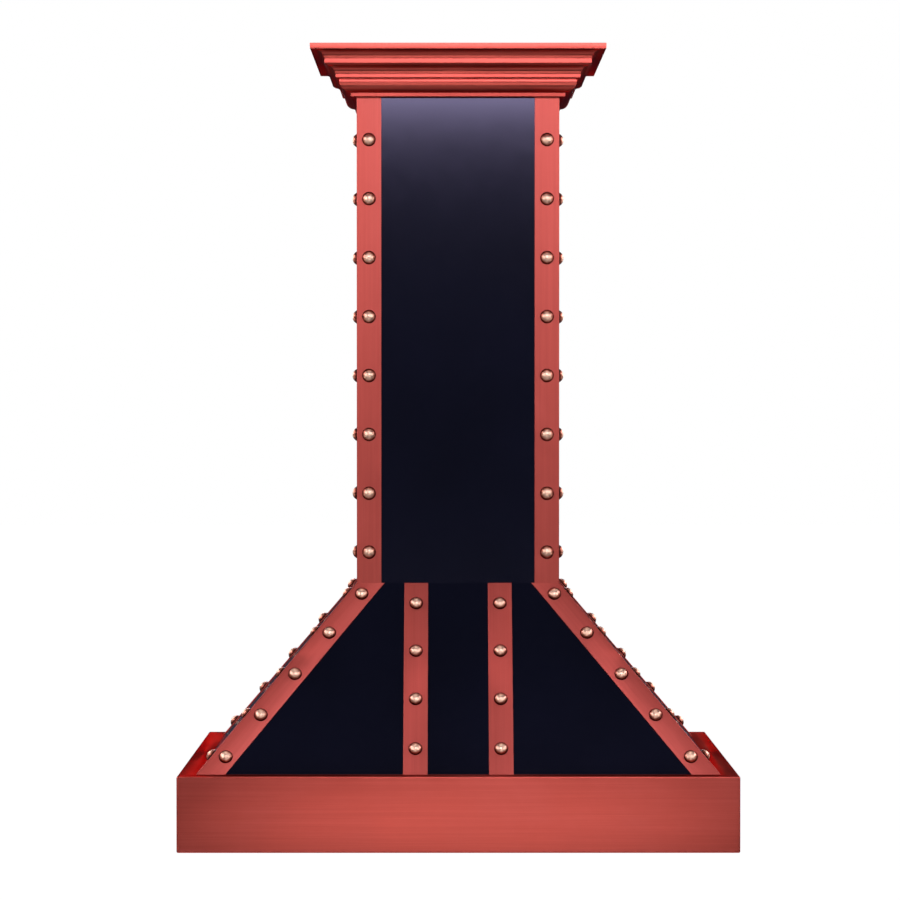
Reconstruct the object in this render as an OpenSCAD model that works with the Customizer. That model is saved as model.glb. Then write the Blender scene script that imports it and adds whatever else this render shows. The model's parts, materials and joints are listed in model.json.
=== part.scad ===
// Island range hood: copper skirt, black pyramid canopy and chimney with
// riveted copper straps, copper crown, and the working parts inside.
// Origin at the centre of the skirt's bottom, +Z up, front faces -Y.

/* [Skirt] */
// Width of the skirt, left to right
skirt_w = 762; // [700:1:900]
// Depth of the skirt, front to back
skirt_d = 600; // [560:1:700]
// Height of the skirt band
skirt_h = 103.4; // [90:0.1:130]
// Visible width of the flat ledge on top of the skirt
ledge_w = 25.4; // [20:0.2:30]
// Width of the bottom return of the skirt
return_w = 18; // [12:1:24]

/* [Canopy and chimney] */
// Height above the skirt's bottom at which the chimney starts
canopy_top_z = 355.6; // [340:0.1:380]
// Chimney width over its corner straps
chimney_w = 284; // [280:1:300]
// Chimney depth over its corner straps
chimney_d = 250; // [248:1:270]
// Height at which the crown moulding starts
crown_z = 1036; // [1020:1:1200]
// Thickness of the sheet metal panels
sheet_t = 1.5; // [1.2:0.1:2]
// Thickness of the copper straps
strap_t = 1.5; // [1.2:0.1:2]

/* [Straps] */
// Width of a chimney corner strap's wing
corner_strap_w = 34.5; // [30:0.5:40]
// Width of a hip strap's wing, square to the hip
hip_strap_w = 30.5; // [26:0.5:34]
// Width of a centre strap
centre_strap_w = 33.3; // [28:0.1:38]
// Distance of a centre strap from the middle of the canopy
centre_strap_x = 58.5; // [45:0.5:80]

/* [Rivets] */
// Diameter of a rivet's dome
rivet_d = 19; // [16:0.5:22]
// Height of a rivet's dome
rivet_h = 6.5; // [5:0.1:7]
// Number of rivets up each chimney strap
chimney_rivet_count = 8; // [6:1:8]
// Height of the top chimney rivet
chimney_rivet_top = 977; // [960:1:990]
// Distance between chimney rivets
chimney_rivet_pitch = 82.6; // [76:0.1:82.6]

/* [Blower] */
// Height of the fan axis
fan_z = 264; // [262:0.5:266]
// Radius of the fan wheels
fan_r = 60; // [54:1:64]
// Outside radius of the duct collar
collar_r = 75.5; // [74:0.1:76]
// Height of the duct collar
collar_h = 60; // [50:1:70]
// Radius of the motor shaft
shaft_r = 4; // [3.5:0.1:4.5]

/* [Filters and controls] */
// Half width of the filter opening
open_x = 272; // [240:1:280]
// Half depth of the filter opening
open_y = 200; // [180:1:210]
// Height of the liner pan's flat face
pan_z = 30; // [28:1:32]
// Travel of a push button
button_travel = 2; // [1:0.1:2.2]
// Travel of a filter latch
latch_travel = 7; // [5:0.5:7]

/* [Hidden] */
$fn = 64;
e = 0.01;

COPPER = [0.72, 0.27, 0.22];
BLACK = [0.05, 0.05, 0.09];
STEEL = [0.75, 0.76, 0.78];
ZINC = [0.60, 0.62, 0.64];
RIVET = [0.60, 0.32, 0.24];

// Panel sizes: the straps lie on the panels
ch_w = chimney_w - 2 * strap_t;
ch_d = chimney_d - 2 * strap_t;
base_w = skirt_w - 2 * ledge_w - 2 * strap_t;
base_d = skirt_d - 2 * ledge_w - 2 * strap_t;
rise = canopy_top_z - skirt_h;
run_f = (base_d - ch_d) / 2;       // front and rear faces run in by this
run_s = (base_w - ch_w) / 2;       // side faces run in by this
slope_f = sqrt(rise * rise + run_f * run_f);
slope_s = sqrt(rise * rise + run_s * run_s);
top_z = crown_z + 69.5;
chimney_top = top_z - 1.5;
// Dihedral between two neighbouring canopy faces, and the mitre it needs
dih = acos((run_f * run_s) / (slope_f * slope_s));
mitre = strap_t * tan(dih / 2);
ang_f = atan(slope_f / run_s);     // hip line against the base, front face
ang_s = atan(slope_s / run_f);     // hip line against the base, side face

deck_top = canopy_top_z;
deck_t = 2.5;
deck_bot = deck_top - deck_t;
up_x = 131;                        // outer faces of the uprights
up_y = 114;
up_leg = 25;
up_t = 2.5;
brk_t = 3;
brk_bot = top_z - brk_t;
fs_x = 118.5;                      // frame screws
fs_z = [deck_top + 15, 730, brk_bot - 15.5];
house_r = 86;
house_x = 112;
damper_z = deck_top + 34;
lamp_pos = [[-240, -229.5], [240, -229.5], [-240, 229.5], [240, 229.5]];
btn_x = [-45, -15, 15, 45];
btn_y = -229.5;
div_w = 4;                         // half width of the bar between the filters
filt_w = open_x - div_w - 2;
filt_x = (open_x + div_w) / 2;     // middle of a filter
pivot_y = 194;                     // filter pivots
pivot_z = pan_z + 4;
filt_y0 = -198;
filt_y1 = 198;
filt_h = 16;

// ---------- helpers ----------
// One rectangular ring in plan: half sizes outside, width of the ring
module ring(hx, hy, w, z0, z1) {
    translate([0, 0, z0]) linear_extrude(height = z1 - z0) difference() {
        square([2 * hx, 2 * hy], center = true);
        square([2 * (hx - w), 2 * (hy - w)], center = true);
    }
}
// A block that keeps one side of a frame, cut at 45 degrees at its corners.
// Outward is +Y before turning; h is the half width and d the half depth.
module wedge(h, d, out, inn, z0, z1) {
    translate([0, 0, z0]) linear_extrude(height = z1 - z0)
        polygon([[-h - out, d + out], [h + out, d + out], [h - inn, d - inn], [-h + inn, d - inn]]);
}
// side 0 front, 1 rear, 2 left, 3 right
function turn(side) = [180, 0, 90, -90][side];
function half_w(side, a, b) = side < 2 ? a : b;

// Frame of a canopy face: X across, Y up the slope, Z outward, origin at the base
module on_face(side) {
    hd = side < 2 ? base_d / 2 : base_w / 2;
    rn = side < 2 ? run_f : run_s;
    rotate([0, 0, [0, 180, -90, 90][side]])
        translate([0, -hd, skirt_h])
            rotate([atan2(rise, rn), 0, 0]) children();
}
function f_bw(side) = side < 2 ? base_w / 2 : base_d / 2;
function f_tw(side) = side < 2 ? ch_w / 2 : ch_d / 2;
function f_len(side) = side < 2 ? slope_f : slope_s;
function f_ang(side) = side < 2 ? ang_f : ang_s;
// Half width of a face at a slope distance v
function f_at(side, v) = f_bw(side) + (f_tw(side) - f_bw(side)) * v / f_len(side);
// Keeps what lies between the ledge and the chimney's foot
module canopy_range() {
    intersection() {
        children();
        translate([-skirt_w, -skirt_d, skirt_h]) cube([2 * skirt_w, 2 * skirt_d, rise]);
    }
}

// ---------- rivets ----------
module rivet() {
    sr = (rivet_d * rivet_d / 4 + rivet_h * rivet_h) / (2 * rivet_h);
    intersection() {
        translate([0, 0, rivet_h - sr]) sphere(r = sr);
        translate([-rivet_d, -rivet_d, 0]) cube([2 * rivet_d, 2 * rivet_d, rivet_d]);
    }
    translate([0, 0, -strap_t - sheet_t - 0.5]) cylinder(r = 2, h = strap_t + sheet_t + 1, $fn = 24);
    translate([0, 0, -strap_t - sheet_t - 1.8]) cylinder(r = 3.5, h = 1.8, $fn = 24);
}
module rivet_hole() {
    translate([0, 0, -strap_t - sheet_t - 2]) cylinder(r = 2.1, h = strap_t + sheet_t + 4, $fn = 24);
}
// Chimney rivets on one corner: k 0 on the front or rear wing, 1 on the side wing
module chimney_rivets_at(sx, sy, k) {
    for (i = [0 : chimney_rivet_count - 1]) {
        z = chimney_rivet_top - i * chimney_rivet_pitch;
        if (k == 0)
            translate([sx * (chimney_w - corner_strap_w) / 2, sy * chimney_d / 2, z]) rotate([-90 * sy, 0, 0]) children();
        else
            translate([sx * chimney_w / 2, sy * (chimney_d - corner_strap_w) / 2, z]) rotate([0, 90 * sx, 0]) children();
    }
}
hip_rivet_h = [236.7, 184.2, 129.6, 76, 21.9];
centre_rivet_h = [223.8, 160.2, 96.8, 32.3];
// Rivets on one wing of a hip strap; s is -1 or 1 in the face's own X
module hip_rivets_at(side, s) {
    on_face(side) for (h = hip_rivet_h) {
        v = h * f_len(side) / rise;
        translate([s * (f_at(side, v) - hip_strap_w / 2 / sin(f_ang(side))), v, strap_t]) children();
    }
}
module centre_rivets_at(side, s) {
    on_face(side) for (h = centre_rivet_h)
        translate([s * centre_strap_x, h * f_len(side) / rise, strap_t]) children();
}

// ---------- skirt ----------
module skirt_section(side) {
    color(COPPER) intersection() {
        union() {
            ring(skirt_w / 2, skirt_d / 2, sheet_t, 0, skirt_h);
            ring(skirt_w / 2, skirt_d / 2, ledge_w + 6, skirt_h - sheet_t, skirt_h);
            ring(skirt_w / 2, skirt_d / 2, return_w, 0, sheet_t);
        }
        rotate([0, 0, turn(side)])
            wedge(half_w(side, skirt_w / 2, skirt_d / 2), half_w(side, skirt_d / 2, skirt_w / 2), 10, 60, -1, skirt_h + 1);
    }
}
module skirt_front() { skirt_section(0); }
module skirt_rear() { skirt_section(1); }
module skirt_left() { skirt_section(2); }
module skirt_right() { skirt_section(3); }

// ---------- canopy panels ----------
module canopy_panel(side) {
    bw = f_bw(side); tw = f_tw(side); L = f_len(side);
    inset = 2 / sin(f_ang(side));
    k = (bw - tw) / L;
    color(BLACK) difference() {
        canopy_range() on_face(side) translate([0, 0, -sheet_t]) linear_extrude(height = sheet_t)
            polygon([[-(bw + 5 * k - inset), -5], [bw + 5 * k - inset, -5],
                     [tw - 5 * k - inset, L + 5], [-(tw - 5 * k - inset), L + 5]]);
        for (s = [-1, 1]) {
            hip_rivets_at(side, s) rivet_hole();
            if (side < 2) centre_rivets_at(side, s) rivet_hole();
        }
    }
}
module canopy_panel_front() { canopy_panel(0); }
module canopy_panel_rear() { canopy_panel(1); }
module canopy_panel_left() { canopy_panel(2); }
module canopy_panel_right() { canopy_panel(3); }

// One wing of a hip strap on a face; s picks the hip in the face's own X
module hip_wing(side, s) {
    bw = f_bw(side); tw = f_tw(side); L = f_len(side);
    k = (bw - tw) / L;
    ex = mitre / sin(f_ang(side));
    wx = hip_strap_w / sin(f_ang(side));
    canopy_range() on_face(side) mirror([s < 0 ? 1 : 0, 0, 0]) linear_extrude(height = strap_t)
        polygon([[bw + 5 * k + ex, -5], [tw - 5 * k + ex, L + 5], [tw - 5 * k - wx, L + 5], [bw + 5 * k - wx, -5]]);
}
// fs and ss pick the hip on the front or rear face and on the side face
module hip_strap(ff, fs, sf, ss) {
    color(COPPER) difference() {
        union() { hip_wing(ff, fs); hip_wing(sf, ss); }
        hip_rivets_at(ff, fs) rivet_hole();
        hip_rivets_at(sf, ss) rivet_hole();
    }
}
module hip_strap_front_left() { hip_strap(0, -1, 2, 1); }
module hip_strap_front_right() { hip_strap(0, 1, 3, -1); }
module hip_strap_rear_left() { hip_strap(1, 1, 2, -1); }
module hip_strap_rear_right() { hip_strap(1, -1, 3, 1); }

module centre_straps(side) {
    L = f_len(side);
    color(COPPER) difference() {
        canopy_range() on_face(side) for (s = [-1, 1])
            translate([s * centre_strap_x - centre_strap_w / 2, -5, 0]) cube([centre_strap_w, L + 10, strap_t]);
        for (s = [-1, 1]) centre_rivets_at(side, s) rivet_hole();
    }
}
module centre_straps_front() { centre_straps(0); }
module centre_straps_rear() { centre_straps(1); }

// ---------- chimney ----------
module chimney_panel_fr(sy) {
    color(BLACK) difference() {
        translate([-ch_w / 2, sy > 0 ? ch_d / 2 - sheet_t : -ch_d / 2, canopy_top_z])
            cube([ch_w, sheet_t, chimney_top - canopy_top_z]);
        for (s = [-1, 1]) chimney_rivets_at(s, sy, 0) rivet_hole();
    }
}
module chimney_panel_side(sx) {
    color(BLACK) difference() {
        translate([sx > 0 ? ch_w / 2 - sheet_t : -ch_w / 2, -ch_d / 2 + sheet_t, canopy_top_z])
            cube([sheet_t, ch_d - 2 * sheet_t, chimney_top - canopy_top_z]);
        for (s = [-1, 1]) chimney_rivets_at(sx, s, 1) rivet_hole();
    }
}
module chimney_panel_front() { chimney_panel_fr(-1); }
module chimney_panel_rear() { chimney_panel_fr(1); }
module chimney_panel_left() { chimney_panel_side(-1); }
module chimney_panel_right() { chimney_panel_side(1); }

module corner_strap(sx, sy) {
    w = corner_strap_w;
    color(COPPER) difference() {
        translate([sx * chimney_w / 2, sy * chimney_d / 2, canopy_top_z])
            mirror([sx > 0 ? 1 : 0, 0, 0]) mirror([0, sy > 0 ? 1 : 0, 0]) {
                cube([w, strap_t, chimney_top - canopy_top_z]);
                cube([strap_t, w, chimney_top - canopy_top_z]);
            }
        chimney_rivets_at(sx, sy, 0) rivet_hole();
        chimney_rivets_at(sx, sy, 1) rivet_hole();
    }
}
module corner_strap_front_left() { corner_strap(-1, -1); }
module corner_strap_front_right() { corner_strap(1, -1); }
module corner_strap_rear_left() { corner_strap(-1, 1); }
module corner_strap_rear_right() { corner_strap(1, 1); }

// ---------- crown ----------
function arc(cx, cy, r, a0, a1, n) = [for (i = [0 : n]) let (a = a0 + (a1 - a0) * i / n) [cx + r * cos(a), cy + r * sin(a)]];
// Section of the crown: x outward from the chimney straps, y up from the crown's foot
crown_face = concat(
    [[0, 0], [6.4, 0], [8, 1], [8, 5.6], [9.3, 6.4]],
    arc(9.3, 21.1, 14.2, -80, 0, 8),
    [[23.5, 22.6], [22.4, 23.2], [22.4, 24.2], [26.8, 24.6], [27.6, 24.7], [28.4, 25.4]],
    arc(40.8, 28.6, 12.4, 180, 97, 8),
    [[42.8, 43.4], [43.4, 44]],
    arc(56, 48.6, 12.6, 180, 97, 8),
    [[57.5, 61.3], [62.3, 61.3], [62.7, 61.8], [63, 68.9], [62.4, 69.5]]);
crown_back = concat(
    [[46, 69.5], [46, 68], [61.3, 68], [61.1, 63.6], [54.3, 62.9]],
    arc(56, 48.6, 14.2, 105, 180, 6),
    [[41.8, 45.2]],
    arc(40.8, 28.6, 14.1, 105, 180, 6),
    [[26.7, 26.4], [20.8, 26], [20.8, 23], [21.9, 22]],
    arc(9.3, 21.1, 12.6, 0, -90, 6),
    [[6.5, 8.3], [6.5, 2.2], [5.8, 1.6], [1.5, 1.6], [1.5, 16], [0, 16]]);

module crown_side(side) {
    h = half_w(side, chimney_w / 2, chimney_d / 2);
    d = half_w(side, chimney_d / 2, chimney_w / 2);
    color(COPPER) rotate([0, 0, turn(side)]) intersection() {
        translate([-h - 80, d, crown_z]) rotate([90, 0, 90]) linear_extrude(height = 2 * h + 160)
            polygon(concat(crown_face, crown_back));
        wedge(h, d, 90, 20, crown_z - 1, top_z + 1);
    }
}
module crown_front() { crown_side(0); }
module crown_rear() { crown_side(1); }
module crown_left() { crown_side(2); }
module crown_right() { crown_side(3); }

// ---------- rivet groups ----------
module chimney_rivets() {
    color(RIVET) for (sx = [-1, 1], sy = [-1, 1], k = [0, 1]) chimney_rivets_at(sx, sy, k) rivet();
}
module hip_rivets() {
    color(RIVET) for (side = [0 : 3], s = [-1, 1]) hip_rivets_at(side, s) rivet();
}
module centre_rivets() {
    color(RIVET) for (side = [0, 1], s = [-1, 1]) centre_rivets_at(side, s) rivet();
}

// ---------- support frame ----------
module frame_screw_places() {
    for (sx = [-1, 1], sy = [-1, 1], z = fs_z) translate([sx * fs_x, sy * up_y, z]) rotate([-90 * sy, 0, 0]) children();
}
module frame_hole() { translate([0, 0, -12]) cylinder(r = 3.2, h = 16, $fn = 32); }
module ceiling_bracket() {
    color(ZINC) difference() {
        union() {
            translate([-ch_w / 2 + sheet_t + 0.5, -ch_d / 2 + sheet_t + 0.5, brk_bot])
                cube([ch_w - 2 * sheet_t - 1, ch_d - 2 * sheet_t - 1, brk_t]);
            for (sy = [-1, 1])
                translate([-up_x + up_t + 0.5, sy > 0 ? up_y - up_t - 2.5 : -up_y + up_t, brk_bot - 30])
                    cube([2 * (up_x - up_t - 0.5), 2.5, 30 + e]);
        }
        translate([0, 0, brk_bot - 1]) cylinder(r = 82, h = brk_t + 2);
        for (sx = [-1, 1], sy = [-1, 1])
            translate([sx * 90, sy * 75, brk_bot - 1]) cylinder(r = 4.25, h = brk_t + 2, $fn = 32);
        translate([104, 0, brk_bot - 1]) cylinder(r = 11, h = brk_t + 2, $fn = 48);
        frame_screw_places() frame_hole();
    }
}
module support_uprights() {
    color(ZINC) difference() {
        for (sx = [-1, 1], sy = [-1, 1]) translate([sx * up_x, sy * up_y, deck_top])
            mirror([sx > 0 ? 1 : 0, 0, 0]) mirror([0, sy > 0 ? 1 : 0, 0]) {
                cube([up_leg, up_t, brk_bot - deck_top]);
                cube([up_t, up_leg, brk_bot - deck_top]);
            }
        frame_screw_places() frame_hole();
    }
}
module cross_brace() {
    color(ZINC) difference() {
        ring(up_x - up_t, up_y - up_t, 2.5, 720, 740);
        frame_screw_places() frame_hole();
    }
}
module frame_screws() {
    color(STEEL) frame_screw_places() {
        cylinder(r = 10 / sqrt(3), h = 4, $fn = 6);
        translate([0, 0, -9]) cylinder(r = 3, h = 9 + e, $fn = 32);
    }
}
module blower_deck() {
    hx = ch_w / 2 - sheet_t - 0.5;
    hy = ch_d / 2 - sheet_t - 0.5;
    color(ZINC) difference() {
        union() {
            translate([-hx, -hy, deck_bot]) cube([2 * hx, 2 * hy, deck_t]);
            ring(hx, hy, 1.5, deck_bot, deck_top + 10);
            for (sx = [-1, 1], sy = [-1, 1])
                translate([sx > 0 ? up_x - up_leg : -up_x + up_t + 0.5, sy > 0 ? up_y - up_t - 2.5 : -up_y + up_t, deck_top - e])
                    cube([up_leg - up_t - 0.5, 2.5, 30 + e]);
        }
        translate([0, 0, deck_bot - 1]) cylinder(r = collar_r - 1.5, h = deck_t + 2, $fn = 96);
        translate([113, 0, deck_bot - 1]) cylinder(r = 8, h = deck_t + 2, $fn = 32);
        frame_screw_places() frame_hole();
    }
}

// ---------- blower ----------
module house_shape(o) {
    circle(r = house_r - o);
    translate([-house_r + o, 0]) square([2 * (house_r - o), deck_bot - fan_z - o]);
}
// Drum-shaped housing, open to the inlets at both ends and to the duct on top
module blower_housing() {
    color(ZINC) difference() {
        union() {
            difference() {
                translate([-house_x, 0, fan_z]) rotate([90, 0, 90]) linear_extrude(height = 2 * house_x) house_shape(0);
                translate([-house_x + 1.5, 0, fan_z]) rotate([90, 0, 90]) linear_extrude(height = 2 * house_x - 3) house_shape(1.5);
            }
            // cut-off tongue beside the wheels
            translate([-house_x + 1, 0, fan_z]) rotate([90, 0, 90]) linear_extrude(height = 2 * house_x - 2)
                polygon([[-house_r + 1, 34], [-house_r + 1, 70], [-house_r + 3, 70], [-58, 37], [-60, 35.4]]);
        }
        translate([-house_x - 1, 0, fan_z]) rotate([0, 90, 0]) cylinder(r = 50, h = 2 * house_x + 2);
        translate([0, 0, fan_z + 60]) cylinder(r = collar_r - 1.5, h = 60, $fn = 96);
    }
}
module motor() {
    color([0.2, 0.2, 0.22]) translate([0, 0, fan_z]) rotate([0, 90, 0]) difference() {
        union() {
            translate([0, 0, -36]) cylinder(r = 40, h = 72);
            for (i = [-2 : 2]) translate([0, 0, i * 6 + (i < 0 ? -8 : i > 0 ? 8 : 0) * 0 - 1.5]) cylinder(r = 42, h = 3);
            translate([0, 0, -42]) cylinder(r = 14, h = 84);
        }
        translate([0, 0, -50]) cylinder(r = shaft_r + 0.05, h = 100, $fn = 48);
    }
}
module motor_bracket() {
    color(ZINC) translate([0, 0, fan_z]) intersection() {
        rotate([0, 90, 0]) difference() {
            union() {
                translate([0, 0, -13.5]) cylinder(r = 45, h = 27);
                for (a = [-60, 0, 60]) rotate([0, 0, a]) translate([0, -2, -13.5]) cube([100, 4, 27]);
            }
            translate([0, 0, -20]) cylinder(r = 42, h = 40);
        }
        rotate([0, 90, 0]) translate([0, 0, -30]) cylinder(r = house_r - 1.5, h = 60);
    }
}
module motor_shaft() {
    color(STEEL) translate([0, 0, fan_z]) rotate([0, 90, 0]) translate([0, 0, -66]) cylinder(r = shaft_r, h = 132, $fn = 48);
}
// Fan wheel: back disc at x = 50, blades out to x = 104, along +Z here
module impeller() {
    n = 24;
    difference() {
        union() {
            translate([0, 0, 50]) cylinder(r = fan_r, h = 1.5);
            translate([0, 0, 46.5]) cylinder(r = 11, h = 16);
        }
        translate([0, 0, 40]) cylinder(r = shaft_r, h = 40, $fn = 48);
    }
    translate([0, 0, 101]) difference() {
        cylinder(r = fan_r, h = 3);
        translate([0, 0, -1]) cylinder(r = fan_r - 3, h = 5);
    }
    for (i = [0 : n - 1]) rotate([0, 0, i * 360 / n]) translate([fan_r - 6, 0, 51]) rotate([0, 0, 35])
        translate([-5.5, -0.6, 0]) cube([10.5, 1.2, 50.5]);
}
module impeller_left() {
    color(STEEL) translate([0, 0, fan_z]) rotate([0, -90, 0]) impeller();
}
module impeller_right() {
    color(STEEL) translate([0, 0, fan_z]) rotate([0, 90, 0]) impeller();
}

// ---------- outlet collar and dampers ----------
module outlet_collar() {
    color(ZINC) {
        difference() {
            union() {
                translate([0, 0, deck_top]) cylinder(r = collar_r, h = collar_h, $fn = 96);
                translate([0, 0, deck_top]) cylinder(r = 82, h = 1.5, $fn = 96);
            }
            translate([0, 0, deck_top - 1]) cylinder(r = collar_r - 1.5, h = collar_h + 2, $fn = 96);
            translate([-collar_r - 1, 0, damper_z]) rotate([0, 90, 0]) cylinder(r = 2, h = 2 * collar_r + 2, $fn = 32);
        }
        // stops below the two flaps
        for (s = [-1, 1]) intersection() {
            translate([-8, s > 0 ? collar_r - 6 : -collar_r, damper_z - 3.3]) cube([16, 6, 2.5]);
            cylinder(r = collar_r - 0.5, h = 2 * damper_z, $fn = 96);
        }
    }
}
module damper_pin() {
    color(STEEL) translate([-collar_r + 0.2, 0, damper_z]) rotate([0, 90, 0]) cylinder(r = 2, h = 2 * collar_r - 0.4, $fn = 32);
}
// Half-round flap on the +Y side; xs are its knuckles' middles along X
module flap(xs) {
    difference() {
        union() {
            intersection() {
                translate([0, 0, damper_z - 0.5]) cylinder(r = collar_r - 2.9, h = 1, $fn = 96);
                translate([-100, 3.8, 0]) cube([200, 200, 2 * damper_z]);
            }
            for (x = xs) {
                translate([x - 6, 0, damper_z]) rotate([0, 90, 0]) cylinder(r = 3.3, h = 12, $fn = 32);
                translate([x - 6, 0, damper_z - 0.5]) cube([12, 5, 1]);
            }
        }
        translate([-100, 0, damper_z]) rotate([0, 90, 0]) cylinder(r = 2.05, h = 200, $fn = 32);
    }
}
module damper_flap_rear() { color(STEEL) flap([-50, 20]); }
module damper_flap_front() { color(STEEL) mirror([0, 1, 0]) flap([-20, 50]); }

// ---------- liner pan ----------
module pan_notches() {
    for (sx = [-1, 1]) translate([sx * filt_x - 17, -open_y - 8, pan_z - 5]) cube([34, 9, 30]);
}
module liner_pan() {
    color(STEEL) difference() {
        union() {
            ring(skirt_w / 2 - sheet_t - 0.5, skirt_d / 2 - sheet_t - 0.5, 39, sheet_t, sheet_t + 1.2);
            ring(skirt_w / 2 - sheet_t - 38.3, skirt_d / 2 - sheet_t - 38.3, 1.2, sheet_t, pan_z + 1.2);
            difference() {
                translate([-skirt_w / 2 + sheet_t + 38.3, -skirt_d / 2 + sheet_t + 38.3, pan_z])
                    cube([skirt_w - 2 * sheet_t - 76.6, skirt_d - 2 * sheet_t - 76.6, 1.2]);
                translate([-open_x, -open_y, pan_z - 1]) cube([2 * open_x, 2 * open_y, 4]);
            }
            ring(open_x + 1.2, open_y + 1.2, 1.2, pan_z, pan_z + 18);
            // bar between the filters, and the filters' pivot pins
            translate([-div_w, -open_y - 0.5, pan_z]) cube([2 * div_w, 2 * open_y + 1, 16]);
            translate([-div_w - 2.8, pivot_y, pivot_z]) rotate([0, 90, 0]) cylinder(r = 1.5, h = 2 * div_w + 5.6, $fn = 32);
            for (sx = [-1, 1]) translate([sx * (open_x - 2.8), pivot_y, pivot_z]) rotate([0, 90 * sx, 0]) cylinder(r = 1.5, h = 3.6, $fn = 32);
        }
        pan_notches();
        for (p = lamp_pos) translate([p[0], p[1], pan_z - 1]) cylinder(r = 22.3, h = 4);
        for (x = btn_x) translate([x, btn_y, pan_z - 1]) cylinder(r = 7.4, h = 4, $fn = 48);
    }
}

// ---------- baffle filters ----------
module filter_body() {
    y0 = filt_y0; y1 = filt_y1; w = filt_w; z0 = pan_z; h = filt_h;
    difference() {
        union() {
            // rolled frame
            difference() {
                translate([-w / 2, y0, z0]) cube([w, y1 - y0, h]);
                translate([-w / 2 + 1.5, y0 + 1.5, z0 + 1.2]) cube([w - 3, y1 - y0 - 3, h - 2.4]);
                translate([-w / 2 + 10, y0 + 30, z0 - 1]) cube([w - 20, y1 - y0 - 40, h + 2]);
            }
            // block that carries the latch
            translate([-26, y0 + 1, z0 + 1]) cube([52, 30, h - 2]);
        }
        // latch pocket, and the slot for its finger tab
        translate([-15.6, y0 - 1, z0 + 4.9]) cube([31.2, 25, 6.2]);
        translate([-12, y0 + 6, z0 - 1]) cube([24, 14.5, 8]);
        translate([-w, pivot_y, pivot_z]) rotate([0, 90, 0]) cylinder(r = 1.55, h = 2 * w, $fn = 32);
    }
    // lower baffles, open upward, and upper baffles, open downward, nested
    for (i = [-4 : 4]) translate([i * 27.2, 0, 0]) rotate([90, 0, 0]) translate([0, 0, -y1 + 1]) linear_extrude(height = y1 - y0 - 32.5)
        polygon([[-11, z0 + 1.15], [11, z0 + 1.15], [11, z0 + 9], [9.9, z0 + 9], [9.9, z0 + 2.25], [-9.9, z0 + 2.25], [-9.9, z0 + 9], [-11, z0 + 9]]);
    for (i = [-4.5 : 4.5]) translate([i * 27.2, 0, 0]) rotate([90, 0, 0]) translate([0, 0, -y1 + 1]) linear_extrude(height = y1 - y0 - 32.5)
        polygon([[-8, z0 + 5.5], [-6.9, z0 + 5.5], [-6.9, z0 + h - 2.25], [6.9, z0 + h - 2.25], [6.9, z0 + 5.5], [8, z0 + 5.5], [8, z0 + h - 1.15], [-8, z0 + h - 1.15]]);
}
module baffle_filter_left() { color(STEEL) translate([-filt_x, 0, 0]) filter_body(); }
module baffle_filter_right() { color(STEEL) translate([filt_x, 0, 0]) filter_body(); }
module latch_body() {
    translate([-15, filt_y0 - 7, pan_z + 5.5]) cube([30, 23, 5]);
    difference() {
        translate([-11, filt_y0 + 8, pan_z - 9]) cube([22, 3, 16]);
        translate([0, filt_y0 + 20, pan_z - 3.5]) rotate([90, 0, 0]) cylinder(r = 2.8, h = 20, $fn = 32);
    }
}
module filter_latch_left() { color(STEEL) translate([-filt_x, 0, 0]) latch_body(); }
module filter_latch_right() { color(STEEL) translate([filt_x, 0, 0]) latch_body(); }

// ---------- lamps ----------
module lamp_housings() {
    color(STEEL) for (p = lamp_pos) translate([p[0], p[1], pan_z]) rotate_extrude()
        polygon([[19.5, -1.8], [25, -1.8], [26, -1], [26, 0], [22, 0], [22, 18], [19, 18], [19, 20], [21, 20], [21, 22],
            [19, 22], [19, 24], [21, 24], [21, 26], [0, 26], [0, 15], [20.6, 15], [20.6, 2.4], [19.5, 2.4]]);
}
module lamp_lenses() {
    color([0.95, 0.95, 0.9]) for (p = lamp_pos) translate([p[0], p[1], pan_z]) rotate_extrude()
        polygon([[0, -1.2], [19.3, -0.2], [19.3, 2.4], [20.4, 2.4], [20.4, 4], [0, 4]]);
}

// ---------- controls ----------
module control_housing() {
    x = 85; y = 24; z0 = pan_z + 1.2; z1 = pan_z + 28;
    color([0.15, 0.15, 0.16]) {
        difference() {
            translate([-x, btn_y - y, z0]) cube([2 * x, 2 * y, z1 - z0]);
            translate([-x + 2, btn_y - y + 2, z0 - 1]) cube([2 * x - 4, 2 * y - 4, z1 - z0 - 1]);
        }
        for (sx = [-1, 1], sy = [-1, 1]) translate([sx * 70, btn_y + sy * 15, pan_z + 11.6]) cylinder(r = 3, h = 15, $fn = 24);
    }
}
module control_board() {
    color([0.1, 0.4, 0.2]) translate([-78, btn_y - 19, pan_z + 10]) cube([156, 38, 1.6]);
    color([0.1, 0.1, 0.1]) for (x = btn_x) translate([x - 3, btn_y - 3, pan_z + 7.2]) cube([6, 6, 2.8 + e]);
}
module button(i) {
    color([0.85, 0.86, 0.88]) translate([btn_x[i], btn_y, pan_z]) rotate_extrude($fn = 48)
        polygon([[0, -3.6], [5.8, -3.6], [6.9, -2.6], [6.9, 1.6], [8.6, 1.6], [8.6, 3], [2, 3], [2, 4.4], [0, 4.4]]);
}
module button_power() { button(0); }
module button_slower() { button(1); }
module button_faster() { button(2); }
module button_light() { button(3); }

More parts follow.
